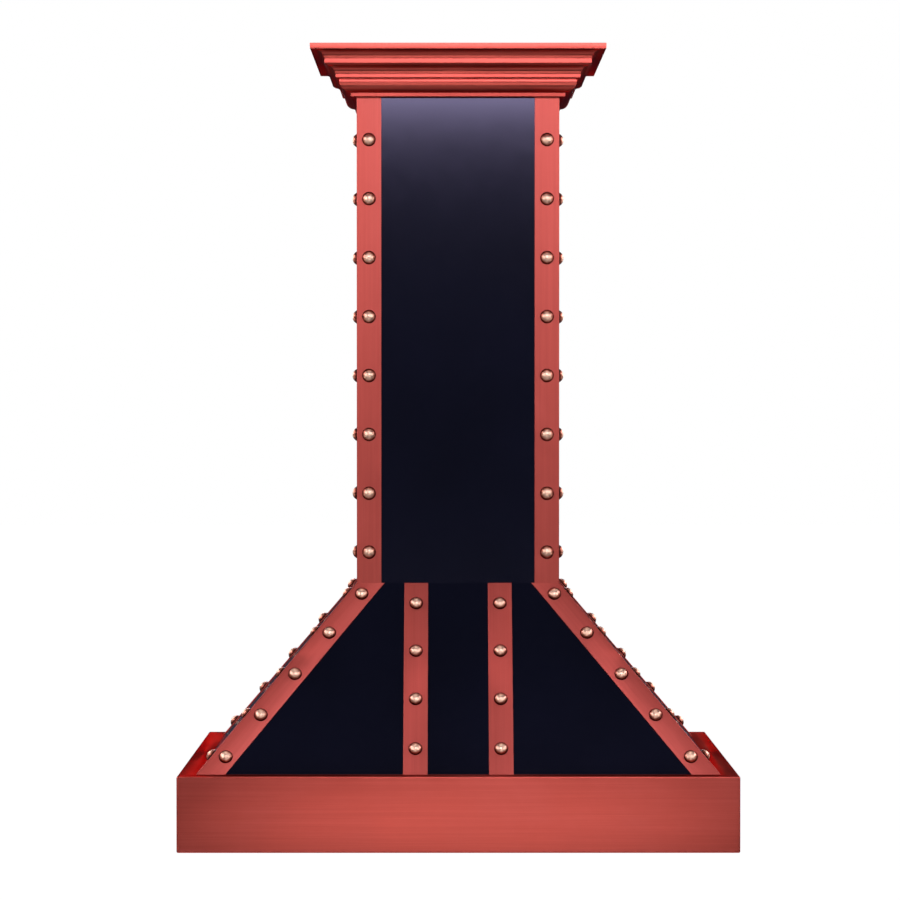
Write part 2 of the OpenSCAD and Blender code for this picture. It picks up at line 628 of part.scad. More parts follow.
// ---------- power entry ----------
module junction_box() {
    color(ZINC) difference() {
        translate([86, -40, deck_top]) cube([38, 80, 62]);
        translate([87.5, -38.5, deck_top + 1.5]) cube([40, 77, 59]);
        translate([104, 0, deck_top + 50]) cylinder(r = 8.2, h = 20, $fn = 48);
        translate([113, 0, deck_top - 1]) cylinder(r = 8, h = 4, $fn = 32);
    }
}
module junction_cover() {
    color(ZINC) translate([124, -40, deck_top + 0.2]) cube([1.5, 80, 61.8]);
}
module inlet_gland() {
    color([0.12, 0.12, 0.13]) translate([104, 0, deck_top + 62]) difference() {
        union() {
            cylinder(r = 12, h = 6, $fn = 6);
            translate([0, 0, 5]) cylinder(r = 9, h = 13, $fn = 48);
            translate([0, 0, -8]) cylinder(r = 8, h = 9, $fn = 48);
        }
        translate([0, 0, -10]) cylinder(r = 4.5, h = 40, $fn = 48);
    }
}

skirt_front();
skirt_rear();
skirt_left();
skirt_right();
canopy_panel_front();
canopy_panel_rear();
canopy_panel_left();
canopy_panel_right();
hip_strap_front_left();
hip_strap_front_right();
hip_strap_rear_left();
hip_strap_rear_right();
centre_straps_front();
centre_straps_rear();
chimney_panel_front();
chimney_panel_rear();
chimney_panel_left();
chimney_panel_right();
corner_strap_front_left();
corner_strap_front_right();
corner_strap_rear_left();
corner_strap_rear_right();
crown_front();
crown_rear();
crown_left();
crown_right();
chimney_rivets();
hip_rivets();
centre_rivets();
ceiling_bracket();
support_uprights();
cross_brace();
frame_screws();
blower_deck();
blower_housing();
motor();
motor_bracket();
motor_shaft();
impeller_left();
impeller_right();
outlet_collar();
damper_flap_front();
damper_flap_rear();
damper_pin();
liner_pan();
baffle_filter_left();
baffle_filter_right();
filter_latch_left();
filter_latch_right();
lamp_housings();
lamp_lenses();
control_housing();
control_board();
button_power();
button_slower();
button_faster();
button_light();
junction_box();
junction_cover();
inlet_gland();
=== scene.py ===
import bpy, bmesh, math, json
from mathutils import Vector, Matrix, noise


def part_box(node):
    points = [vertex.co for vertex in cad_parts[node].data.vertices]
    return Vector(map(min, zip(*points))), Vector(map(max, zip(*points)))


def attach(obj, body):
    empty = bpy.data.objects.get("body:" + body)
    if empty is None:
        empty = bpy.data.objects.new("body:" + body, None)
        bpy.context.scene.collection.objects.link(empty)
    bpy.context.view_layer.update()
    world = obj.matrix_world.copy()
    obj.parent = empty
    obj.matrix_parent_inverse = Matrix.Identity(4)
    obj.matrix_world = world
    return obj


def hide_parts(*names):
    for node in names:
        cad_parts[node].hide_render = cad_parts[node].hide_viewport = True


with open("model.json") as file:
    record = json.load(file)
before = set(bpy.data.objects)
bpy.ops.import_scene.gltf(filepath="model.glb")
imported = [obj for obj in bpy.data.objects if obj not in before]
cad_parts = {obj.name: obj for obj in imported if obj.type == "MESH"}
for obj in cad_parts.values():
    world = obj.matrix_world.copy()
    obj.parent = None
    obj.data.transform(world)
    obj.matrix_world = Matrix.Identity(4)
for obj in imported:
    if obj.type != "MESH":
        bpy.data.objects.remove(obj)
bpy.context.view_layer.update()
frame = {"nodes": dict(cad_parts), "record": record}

MM = 0.001
scene = bpy.context.scene
scene.view_settings.view_transform = "Standard"
scene.view_settings.look = "None"

# ------------------------------------------------------------------ sizes from the frame
_lo, _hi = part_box("skirt_front")
SK_W = _hi.x - _lo.x
SK_H = _hi.z
_lo, _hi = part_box("skirt_left")
SK_D = _hi.y - _lo.y
_lo, _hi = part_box("chimney_panel_front")
CP_W, CP_Y, CH_Z0, CH_Z1 = _hi.x - _lo.x, -_lo.y, _lo.z, _hi.z     # panel outer faces
T = 1.5 * MM                                                        # strap and sheet thickness
CH_W, CH_D = CP_W + 2 * T, 2 * CP_Y + 2 * T                         # over the straps
_lo, _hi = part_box("crown_front")
CR_Z0, CR_Z1 = _lo.z, _hi.z
LEDGE = 25.4 * MM
BASE_X, BASE_Y = SK_W / 2 - LEDGE - T, SK_D / 2 - LEDGE - T          # canopy panel foot, outer faces
TOP_X, TOP_Y = CP_W / 2, CP_Y
STRAP_W, HIP_W, CEN_W, CEN_X = 34.5 * MM, 30.5 * MM, 33.3 * MM, 58.5 * MM
RIVET_R, RIVET_H = 9.5 * MM, 6.5 * MM

# ------------------------------------------------------------------ mesh helpers
def link(obj):
    scene.collection.objects.link(obj)
    return obj

def make(name, bm, angle=28):
    """Closed mesh, normals outward, smooth where faces meet at less than the angle."""
    bmesh.ops.remove_doubles(bm, verts=bm.verts, dist=2e-6)
    bmesh.ops.dissolve_degenerate(bm, edges=bm.edges, dist=1e-6)
    bmesh.ops.recalc_face_normals(bm, faces=bm.faces)
    me = bpy.data.meshes.new(name)
    bm.to_mesh(me)
    bm.free()
    for p in me.polygons:
        p.use_smooth = True
    me.set_sharp_from_angle(angle=math.radians(angle))
    return link(bpy.data.objects.new(name, me))

def grain_uv(obj, g):
    """UVs in metres: U along the brushing direction g, V across it."""
    me = obj.data
    uv = me.uv_layers.new(name="grain")
    g = Vector(g).normalized()
    for p in me.polygons:
        n = p.normal
        a = g - n * g.dot(n)
        if a.length < 0.2:
            a = Vector((1, 0, 0)) - n * n.x
            if a.length < 0.2:
                a = Vector((0, 1, 0)) - n * n.y
        a.normalize()
        c = n.cross(a)
        for li in p.loop_indices:
            co = me.vertices[me.loops[li].vertex_index].co
            uv.data[li].uv = (co.dot(a), co.dot(c))

def fillet(poly, radii, n=4):
    """Rounds the corners of a closed 2D outline. radii: one number or one per corner."""
    out = []
    m = len(poly)
    for i, p in enumerate(poly):
        r = radii[i] if isinstance(radii, (list, tuple)) else radii
        p = Vector(p); a = Vector(poly[i - 1]) - p; b = Vector(poly[(i + 1) % m]) - p
        la, lb = a.length, b.length
        if r <= 0 or la < 1e-9 or lb < 1e-9:
            out.append(tuple(p)); continue
        a /= la; b /= lb
        ang = math.acos(max(-1, min(1, a.dot(b))))
        if ang > math.radians(172):
            out.append(tuple(p)); continue
        t = min(r / math.tan(ang / 2), 0.45 * la, 0.45 * lb)
        r = t * math.tan(ang / 2)
        c = p + (a + b).normalized() * (r / math.sin(ang / 2))
        s, e = p + a * t - c, p + b * t - c
        a0 = math.atan2(s.y, s.x); a1 = math.atan2(e.y, e.x)
        d = (a1 - a0 + math.pi) % (2 * math.pi) - math.pi
        for k in range(n + 1):
            q = a0 + d * k / n
            out.append((c.x + r * math.cos(q), c.y + r * math.sin(q)))
    return out

def loops_to_mesh(name, loops, angle=28):
    """Skins a list of equal closed loops of 3D points, and closes both ends."""
    bm = bmesh.new()
    rings = [[bm.verts.new(p) for p in l] for l in loops]
    n = len(loops[0])
    for a, b in zip(rings, rings[1:]):
        for i in range(n):
            j = (i + 1) % n
            try:
                bm.faces.new((a[i], a[j], b[j], b[i]))
            except ValueError:
                pass
    bm.faces.new(rings[0][::-1])
    bm.faces.new(rings[-1])
    return make(name, bm, angle)

TURN = [math.pi, 0.0, math.pi / 2, -math.pi / 2]       # front, rear, left, right

def side_section(name, outline, side, hx, hy, r, nround=5, cuts=1, angle=28):
    """One side of a four-sided band. outline: closed (outward, z) points; r: corner radius in plan.
    The section ends on the 45 degree plane of each corner, so that neighbours close up."""
    h, d = (hx, hy) if side < 2 else (hy, hx)
    loops = []
    def station(sx, phi):
        pts = []
        for o, z in outline:
            if r > 0 and r + o > 0:
                x = h - r + (r + o) * math.cos(phi); y = d - r + (r + o) * math.sin(phi)
            else:
                x, y = h + o, d + o
            pts.append(Vector((sx * x, y, z)))
        return pts
    k = max(1, nround) if r > 0 else 0
    for i in range(k + 1):
        phi = math.pi / 4 + (math.pi / 4) * (i / k if k else 0)
        loops.append(station(-1, phi))
    # straight run
    a, b = loops[-1], station(1, math.pi / 2 if k else math.pi / 4)
    for c in range(1, cuts):
        f = c / cuts
        loops.append([p.lerp(q, f) for p, q in zip(a, b)])
    for i in range(k + 1):
        phi = math.pi / 2 - (math.pi / 4) * (i / k if k else 0)
        loops.append(station(1, phi if k else math.pi / 4))
    m = Matrix.Rotation(TURN[side], 3, "Z")
    return loops_to_mesh(name, [[m @ p for p in l] for l in loops], angle)

# ------------------------------------------------------------------ canopy geometry
def face_frame(side):
    """Origin, X axis, up-slope axis, outward normal of a canopy face's outer plane."""
    hd, top = (BASE_Y, TOP_Y) if side < 2 else (BASE_X, TOP_X)
    rise = CH_Z0 - SK_H
    L = math.hypot(rise, hd - top)
    m = Matrix.Rotation([0.0, math.pi, -math.pi / 2, math.pi / 2][side], 3, "Z")
    o = m @ Vector((0, -hd, SK_H))
    x = m @ Vector((1, 0, 0))
    v = m @ Vector((0, (hd - top) / L, rise / L))
    return o, x, v, x.cross(v), L

def half_at(side, v, L):
    b, t = (BASE_X, TOP_X) if side < 2 else (BASE_Y, TOP_Y)
    return b + (t - b) * v / L

def cut_loft(name, base, d, offsets, z0, z1, cuts=1):
    """A bar whose section points are offsets (3D vectors square to d) from the line base + t d,
    cut level at z0 and z1."""
    loops = []
    for c in range(cuts + 1):
        z = z0 + (z1 - z0) * c / cuts
        loop = []
        for q in offsets:
            p = base + q
            loop.append(p + d * ((z - p.z) / d.z))
        loops.append(loop)
    return loops_to_mesh(name, loops)

# ------------------------------------------------------------------ materials
def new_mat(name):
    m = bpy.data.materials.new(name)
    m.use_nodes = True
    nt = m.node_tree
    nt.nodes.clear()
    out = nt.nodes.new("ShaderNodeOutputMaterial")
    bs = nt.nodes.new("ShaderNodeBsdfPrincipled")
    nt.links.new(bs.outputs[0], out.inputs[0])
    return m, nt, bs

def N(nt, kind, **kw):
    n = nt.nodes.new(kind)
    for k, v in kw.items():
        if k.startswith("in_"):
            n.inputs[k[3:].replace("_", " ")].default_value = v
        else:
            setattr(n, k, v)
    return n

def mapped(nt, scale, coord="grain"):
    if coord == "grain":
        c = N(nt, "ShaderNodeUVMap", uv_map="grain").outputs[0]
    else:
        c = nt.nodes.new("ShaderNodeTexCoord").outputs["Object"]
    mp = nt.nodes.new("ShaderNodeMapping")
    mp.inputs["Scale"].default_value = scale
    nt.links.new(c, mp.inputs["Vector"])
    return mp.outputs[0]

def noise_tex(nt, vec, scale=1.0, detail=3.0, rough=0.55, distortion=0.0):
    n = nt.nodes.new("ShaderNodeTexNoise")
    n.inputs["Scale"].default_value = scale
    n.inputs["Detail"].default_value = detail
    n.inputs["Roughness"].default_value = rough
    n.inputs["Distortion"].default_value = distortion
    nt.links.new(vec, n.inputs["Vector"])
    return n.outputs["Fac"]

def ramp(nt, fac, stops, interp="LINEAR"):
    r = nt.nodes.new("ShaderNodeValToRGB")
    r.color_ramp.interpolation = interp
    el = r.color_ramp.elements
    el[0].position, el[0].color = stops[0][0], (*stops[0][1], 1)
    el[1].position, el[1].color = stops[-1][0], (*stops[-1][1], 1)
    for p, c in stops[1:-1]:
        e = el.new(p); e.color = (*c, 1)
    nt.links.new(fac, r.inputs[0])
    return r.outputs[0]

def math_node(nt, op, a, b=None, clamp=False):
    n = nt.nodes.new("ShaderNodeMath")
    n.operation = op
    n.use_clamp = clamp
    for i, v in enumerate((a, b)):
        if v is None:
            continue
        if isinstance(v, (int, float)):
            n.inputs[i].default_value = v
        else:
            nt.links.new(v, n.inputs[i])
    return n.outputs[0]

def remap(nt, v, a0, a1, b0, b1):
    n = nt.nodes.new("ShaderNodeMapRange")
    nt.links.new(v, n.inputs["Value"])
    n.inputs["From Min"].default_value = a0
    n.inputs["From Max"].default_value = a1
    n.inputs["To Min"].default_value = b0
    n.inputs["To Max"].default_value = b1
    return n.outputs[0]

def mix_rgb(nt, fac, a, b, mode="MIX"):
    n = nt.nodes.new("ShaderNodeMix")
    n.data_type = "RGBA"
    n.blend_type = mode
    for sock, v in ((n.inputs[0], fac), (n.inputs[6], a), (n.inputs[7], b)):
        if isinstance(v, (int, float)):
            sock.default_value = v
        elif isinstance(v, tuple):
            sock.default_value = (*v, 1)
        else:
            nt.links.new(v, sock)
    return n.outputs[2]

def bump(nt, bs, height, strength, distance):
    b = nt.nodes.new("ShaderNodeBump")
    b.inputs["Strength"].default_value = strength
    b.inputs["Distance"].default_value = distance
    nt.links.new(height, b.inputs["Height"])
    nt.links.new(b.outputs[0], bs.inputs["Normal"])

def set_in(bs, **kw):
    for k, v in kw.items():
        bs.inputs[k.replace("_", " ")].default_value = v

def brushed(name, dark, mid, light, rough=(0.28, 0.42), coat=0.0, coat_rough=0.1, fine=1500.0, along=7.0,
            coord="grain", scales=None, blotch=9.0, bump_strength=0.35, aniso=0.0, turn=0.0, metallic=1.0, edge=None):
    """Brushed metal: fine scratches along U, soft tone changes, slow patina patches."""
    m, nt, bs = new_mat(name)
    s = scales or (along, fine, 1.0)
    scratch = noise_tex(nt, mapped(nt, s, coord), 1.0, 4.0, 0.65)
    broad = noise_tex(nt, mapped(nt, (s[0] * 0.35, s[1] * 0.11, s[2] * (0.11 if s[2] > 50 else 0.35)), coord), 1.0, 3.0, 0.6)
    patch = noise_tex(nt, mapped(nt, (1, 1, 1), "object"), blotch, 4.0, 0.6, 0.4)
    f = math_node(nt, "ADD", math_node(nt, "MULTIPLY", scratch, 0.34), math_node(nt, "MULTIPLY", broad, 0.30))
    f = math_node(nt, "ADD", f, math_node(nt, "MULTIPLY", patch, 0.36))
    col = ramp(nt, f, [(0.34, dark), (0.50, mid), (0.66, light)])
    nt.links.new(col, bs.inputs["Base Color"])
    r = math_node(nt, "ADD", remap(nt, scratch, 0.3, 0.7, rough[0], rough[1]), remap(nt, patch, 0.3, 0.7, -0.03, 0.04))
    nt.links.new(r, bs.inputs["Roughness"])
    set_in(bs, Metallic=metallic)
    if edge:
        bs.inputs["Specular Tint"].default_value = (*edge, 1.0)
    if coat:
        bs.inputs["Coat Weight"].default_value = coat
        bs.inputs["Coat Roughness"].default_value = coat_rough
    if aniso:
        bs.inputs["Anisotropic"].default_value = aniso
        bs.inputs["Anisotropic Rotation"].default_value = turn
    bump(nt, bs, scratch, bump_strength, 0.00006)
    return m

def enamel(name):
    m, nt, bs = new_mat(name)
    vec = mapped(nt, (1, 1, 1), "object")
    peel = noise_tex(nt, vec, 420.0, 2.0, 0.5)
    wave = noise_tex(nt, vec, 5.0, 2.0, 0.5)
    dust = noise_tex(nt, vec, 60.0, 5.0, 0.7)
    col = ramp(nt, wave, [(0.3, (0.0014, 0.0018, 0.0042)), (0.7, (0.0024, 0.0029, 0.0074))])
    nt.links.new(col, bs.inputs["Base Color"])
    nt.links.new(remap(nt, dust, 0.35, 0.75, 0.135, 0.155), bs.inputs["Roughness"])
    bs.inputs["IOR"].default_value = 1.66
    bs.inputs["Specular Tint"].default_value = (0.72, 0.66, 1.0, 1.0)
    h = math_node(nt, "ADD", math_node(nt, "MULTIPLY", peel, 0.03), math_node(nt, "MULTIPLY", wave, 1.0))
    bump(nt, bs, h, 0.08, 0.0004)
    return m

def rivet_mat(name, dark, mid, light, rough=0.3):
    """Clavos: the colour follows the dome height, with a dark rim that is partly patina and partly painted shade, and
    a painted highlight on the crown of the dome; random hammer marks shift it.
    """
    m, nt, bs = new_mat(name)
    at = N(nt, "ShaderNodeAttribute", attribute_name="dome")
    spots = noise_tex(nt, mapped(nt, (1, 1, 1), "object"), 260.0, 4.0, 0.65)
    f = math_node(nt, "ADD", at.outputs["Fac"], remap(nt, spots, 0.3, 0.7, -0.10, 0.10))
    # painted shade and painted highlight: dark at the rim of each dome, cream light colour on its crown
    col = ramp(nt, f, [(0.20, dark), (0.50, mid), (0.80, light)])
    nt.links.new(col, bs.inputs["Base Color"])
    nt.links.new(remap(nt, spots, 0.3, 0.7, rough - 0.06, rough + 0.12), bs.inputs["Roughness"])
    set_in(bs, Metallic=1.0)
    bump(nt, bs, spots, 0.3, 0.0002)
    return m

def spangle(name, a, b, rough=0.38):
    """Zinc-coated sheet with its crystal pattern."""
    m, nt, bs = new_mat(name)
    vec = mapped(nt, (1, 1, 1), "object")
    v = nt.nodes.new("ShaderNodeTexVoronoi")
    v.inputs["Scale"].default_value = 130.0
    nt.links.new(vec, v.inputs["Vector"])
    sep = nt.nodes.new("ShaderNodeSeparateColor")
    nt.links.new(v.outputs["Color"], sep.inputs[0])
    n = noise_tex(nt, vec, 900.0, 3.0, 0.6)
    f = math_node(nt, "ADD", math_node(nt, "MULTIPLY", sep.outputs[0], 0.6), math_node(nt, "MULTIPLY", n, 0.4))
    nt.links.new(ramp(nt, f, [(0.2, a), (0.8, b)]), bs.inputs["Base Color"])
    nt.links.new(remap(nt, sep.outputs[1], 0, 1, rough - 0.08, rough + 0.14), bs.inputs["Roughness"])
    set_in(bs, Metallic=1.0)
    bump(nt, bs, n, 0.15, 0.0002)
    return m

def plastic(name, a, b, rough=0.45, grain=900.0, strength=0.25, metallic=0.0):
    m, nt, bs = new_mat(name)
    vec = mapped(nt, (1, 1, 1), "object")
    g = noise_tex(nt, vec, grain, 3.0, 0.6)
    w = noise_tex(nt, vec, 30.0, 3.0, 0.6)
    nt.links.new(ramp(nt, w, [(0.3, a), (0.7, b)]), bs.inputs["Base Color"])
    nt.links.new(remap(nt, g, 0.3, 0.7, rough - 0.06, rough + 0.08), bs.inputs["Roughness"])
    set_in(bs, Metallic=metallic)
    bump(nt, bs, g, strength, 0.0002)
    return m

def board_mat(name):
    m, nt, bs = new_mat(name)
    vec = mapped(nt, (1, 1, 1), "object")
    br = nt.nodes.new("ShaderNodeTexBrick")
    br.inputs["Scale"].default_value = 160.0
    br.inputs["Mortar Size"].default_value = 0.06
    nt.links.new(vec, br.inputs["Vector"])
    n = noise_tex(nt, vec, 80.0, 3.0, 0.6)
    c = ramp(nt, n, [(0.3, (0.01, 0.07, 0.03)), (0.7, (0.015, 0.11, 0.05))])
    col = mix_rgb(nt, math_node(nt, "MULTIPLY", br.outputs["Fac"], 0.5), c, (0.03, 0.20, 0.09))
    nt.links.new(col, bs.inputs["Base Color"])
    nt.links.new(remap(nt, n, 0.3, 0.7, 0.32, 0.42), bs.inputs["Roughness"])
    bump(nt, bs, br.outputs["Fac"], 0.2, 0.0001)
    return m

def lens_mat(name):
    m, nt, bs = new_mat(name)
    vec = mapped(nt, (1, 1, 1), "object")
    v = nt.nodes.new("ShaderNodeTexVoronoi")
    v.inputs["Scale"].default_value = 420.0
    nt.links.new(vec, v.inputs["Vector"])
    n = noise_tex(nt, vec, 50.0, 2.0, 0.5)
    nt.links.new(ramp(nt, n, [(0.3, (0.86, 0.87, 0.84)), (0.7, (0.93, 0.93, 0.90))]), bs.inputs["Base Color"])
    nt.links.new(remap(nt, v.outputs["Distance"], 0.0, 0.8, 0.22, 0.40), bs.inputs["Roughness"])
    bs.inputs["Transmission Weight"].default_value = 0.35
    bump(nt, bs, v.outputs["Distance"], 0.5, 0.0004)
    return m

COP_D, COP_M, COP_L = (0.50, 0.076, 0.058), (0.57, 0.092, 0.070), (0.64, 0.114, 0.090)
COP_E = (0.22, 0.085, 0.07)
MAT = {
    "skirt_copper": brushed("skirt_copper", COP_D, COP_M, COP_L, rough=(0.33, 0.39), aniso=0.55, turn=0.25, bump_strength=0.10, edge=COP_E),
    "strap_copper": brushed("strap_copper", COP_D, COP_M, COP_L, rough=(0.51, 0.57), coat=0.35, coat_rough=0.4, fine=1300.0, aniso=0.6, bump_strength=0.10, edge=COP_E),
    "crown_copper": brushed("crown_copper", (0.50, 0.072, 0.054), (0.56, 0.088, 0.066), (0.62, 0.108, 0.082), rough=(0.29, 0.33), fine=2200.0, along=3.0, bump_strength=0.02, aniso=0.5, turn=0.25, edge=COP_E),
    "black_panel": enamel("black_panel"),
    # rivet colours: the cream light one is a painted highlight, the dark one partly patina and partly painted shade at
    # the rim
    "rivet_copper": rivet_mat("rivet_copper", (0.030, 0.006, 0.005), (0.484, 0.126, 0.076), (1.0, 0.623, 0.448), 0.40),
    "galvanised": spangle("galvanised", (0.34, 0.36, 0.38), (0.62, 0.64, 0.66)),
    "zinc_screw": plastic("zinc_screw", (0.55, 0.55, 0.52), (0.70, 0.70, 0.66), 0.28, 700.0, 0.2, 1.0),
    "motor_body": plastic("motor_body", (0.012, 0.012, 0.014), (0.022, 0.022, 0.025), 0.42, 500.0, 0.3),
    "bright_steel": brushed("bright_steel", (0.48, 0.48, 0.48), (0.60, 0.60, 0.60), (0.74, 0.74, 0.74), rough=(0.18, 0.30), coord="object", scales=(900.0, 12.0, 12.0)),
    "wheel_steel": spangle("wheel_steel", (0.40, 0.42, 0.44), (0.64, 0.66, 0.68), 0.34),
    "damper_sheet": brushed("damper_sheet", (0.58, 0.59, 0.60), (0.70, 0.71, 0.72), (0.80, 0.81, 0.82), rough=(0.28, 0.42), coord="object", scales=(8.0, 900.0, 900.0)),
    "liner_steel": brushed("liner_steel", (0.40, 0.40, 0.395), (0.52, 0.52, 0.51), (0.64, 0.64, 0.63), rough=(0.26, 0.38), coord="object", scales=(9.0, 1200.0, 1200.0), bump_strength=0.12, metallic=0.82),
    "filter_steel": brushed("filter_steel", (0.44, 0.44, 0.435), (0.57, 0.57, 0.56), (0.70, 0.70, 0.69), rough=(0.18, 0.30), coord="object", scales=(1200.0, 9.0, 1200.0), bump_strength=0.10, metallic=0.82),
    "lamp_body": brushed("lamp_body", (0.50, 0.50, 0.50), (0.62, 0.62, 0.62), (0.74, 0.74, 0.74), rough=(0.24, 0.36), coord="object", scales=(60.0, 60.0, 900.0)),
    "lamp_lens": lens_mat("lamp_lens"),
    "control_plastic": plastic("control_plastic", (0.012, 0.012, 0.013), (0.020, 0.020, 0.022), 0.5, 1400.0, 0.4),
    "circuit_board": board_mat("circuit_board"),
    "button_metal": brushed("button_metal", (0.55, 0.55, 0.56), (0.68, 0.68, 0.69), (0.80, 0.80, 0.81), rough=(0.16, 0.26), coord="object", scales=(900.0, 20.0, 20.0), bump_strength=0.15),
    "gland_plastic": plastic("gland_plastic", (0.010, 0.010, 0.011), (0.018, 0.018, 0.019), 0.48, 900.0, 0.3),
}

def finish_piece(obj, slot_name, body="hood", nodes=(), grain=None):
    obj.data.materials.clear()
    obj.data.materials.append(MAT[slot_name])
    if grain is not None:
        grain_uv(obj, grain)
    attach(obj, body)
    if nodes:
        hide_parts(*nodes)
    return obj

# ------------------------------------------------------------------ every CAD node takes its slot's material
slot_of = {s["node"]: s["material_slot"] for s in frame["record"]["subparts"]}
for n, o in frame["nodes"].items():
    o.data.materials.clear()
    o.data.materials.append(MAT[slot_of[n]])

SIDES = ["front", "rear", "left", "right"]
AXIS = [(1, 0, 0), (1, 0, 0), (0, 1, 0), (0, 1, 0)]

# ------------------------------------------------------------------ skirt
r = 3.0 * MM
sk = [(-31.4 * MM, SK_H), (0, SK_H), (0, 0), (-18 * MM, 0), (-18 * MM, T), (-T, T), (-T, SK_H - T), (-31.4 * MM, SK_H - T)]
sk = fillet(sk, [0.3 * MM, 2.2 * MM, 2.2 * MM, 0.3 * MM, 0.3 * MM, 1.0 * MM, 1.0 * MM, 0.3 * MM], 5)
for i, s in enumerate(SIDES):
    o = side_section("skirt_%s_band" % s, sk, i, SK_W / 2, SK_D / 2, 2.5 * MM)
    finish_piece(o, "skirt_copper", "hood", ["skirt_" + s], AXIS[i])

# ------------------------------------------------------------------ crown moulding
def arc(cx, cy, r, a0, a1, n):
    return [(cx + r * math.cos(math.radians(a0 + (a1 - a0) * i / n)), cy + r * math.sin(math.radians(a0 + (a1 - a0) * i / n))) for i in range(n + 1)]
face = [(0, 0), (6.4, 0), (8, 1), (8, 5.6), (9.3, 6.4)] + arc(9.3, 21.1, 14.2, -80, 0, 22) \
    + [(23.5, 22.6), (22.4, 23.2), (22.4, 24.2), (26.8, 24.6), (27.6, 24.7), (28.4, 25.4)] + arc(40.8, 28.6, 12.4, 180, 97, 20) \
    + [(42.8, 43.4), (43.4, 44)] + arc(56, 48.6, 12.6, 180, 97, 20) \
    + [(57.5, 61.3), (62.3, 61.3), (62.7, 61.8), (63, 68.9), (62.4, 69.5)]
back = [(46, 69.5), (46, 68), (61.3, 68), (61.1, 63.6), (54.3, 62.9)] + arc(56, 48.6, 14.2, 105, 180, 6) \
    + [(41.8, 45.2)] + arc(40.8, 28.6, 14.1, 105, 180, 6) + [(26.7, 26.4), (20.8, 26), (20.8, 23), (21.9, 22)] \
    + arc(9.3, 21.1, 12.6, 0, -90, 6) + [(6.5, 8.3), (6.5, 2.2), (5.8, 1.6), (1.5, 1.6), (1.5, 16), (0, 16)]
prof = fillet(face + back, [0.35 if i < len(face) else 0.0 for i in range(len(face) + len(back))], 3)
prof = [(o * MM, CR_Z0 + z * MM) for o, z in prof]
for i, s in enumerate(SIDES):
    o = side_section("crown_%s_moulding" % s, prof, i, CH_W / 2, CH_D / 2, 0.0, angle=32)
    finish_piece(o, "crown_copper", "hood", ["crown_" + s], AXIS[i])

# ------------------------------------------------------------------ chimney corner straps
def corner_strap(name, sx, sy):
    w = STRAP_W
    pts = [(0, 0), (w, 0), (w, T), (T, T), (T, w), (0, w)]
    pts = fillet(pts, [1.6 * MM, 0.4 * MM, 0.15 * MM, 0.5 * MM, 0.15 * MM, 0.4 * MM], 5)
    loops = []
    n = 24
    for k in range(n + 1):
        z = CH_Z0 + (CH_Z1 - CH_Z0) * k / n
        loops.append([Vector((sx * (CH_W / 2 - x), sy * (CH_D / 2 - y), z)) for x, y in pts])
    return loops_to_mesh(name, loops)
for fy, sy in (("front", -1), ("rear", 1)):
    for fx, sx in (("left", -1), ("right", 1)):
        node = "corner_strap_%s_%s" % (fy, fx)
        finish_piece(corner_strap(node + "_copper", sx, sy), "strap_copper", "hood", [node], (0, 0, 1))

# ------------------------------------------------------------------ hip straps
def hip_strap(name, ff, fs, sf, ss):
    o1, x1, v1, n1, L1 = face_frame(ff)
    o2, x2, v2, n2, L2 = face_frame(sf)
    b = o1 + x1 * (fs * half_at(ff, 0, L1))
    t = o1 + x1 * (fs * half_at(ff, L1, L1)) + v1 * L1
    d = (t - b).normalized()
    a1 = n1.cross(d); a1 = a1 if a1.dot(x1 * -fs) > 0 else -a1
    a2 = n2.cross(d); a2 = a2 if a2.dot(x2 * -ss) > 0 else -a2
    m = (n1 + n2).normalized()
    R = 2.6 * MM
    c = m * ((T - R) / m.dot(n1))
    th = math.acos(n1.dot(n2))
    e = 0.4 * MM
    sec = []
    # outer face of wing 1, from its free edge to the bend, round it, and along wing 2
    sec += [a1 * HIP_W + n1 * 0.05 * MM, a1 * HIP_W + n1 * (T - e), a1 * (HIP_W - 0.3 * e) + n1 * (T - 0.3 * e), a1 * (HIP_W - e) + n1 * T]
    for k in range(8):
        f = k / 7
        w1, w2 = math.sin((1 - f) * th) / math.sin(th), math.sin(f * th) / math.sin(th)
        sec.append(c + (n1 * w1 + n2 * w2) * R)
    sec += [a2 * (HIP_W - e) + n2 * T, a2 * (HIP_W - 0.3 * e) + n2 * (T - 0.3 * e), a2 * HIP_W + n2 * (T - e), a2 * HIP_W + n2 * 0.05 * MM]
    # inner side
    r2 = R - T + 0.05 * MM
    for k in range(5):
        f = 1 - k / 4
        w1, w2 = math.sin((1 - f) * th) / math.sin(th), math.sin(f * th) / math.sin(th)
        sec.append(c + (n1 * w1 + n2 * w2) * r2)
    return cut_loft(name, b, d, sec, SK_H, CH_Z0, 10), d
for node, args in (("hip_strap_front_left", (0, -1, 2, 1)), ("hip_strap_front_right", (0, 1, 3, -1)),
                   ("hip_strap_rear_left", (1, 1, 2, -1)), ("hip_strap_rear_right", (1, -1, 3, 1))):
    o, d = hip_strap(node + "_copper", *args)
    finish_piece(o, "strap_copper", "hood", [node], d)

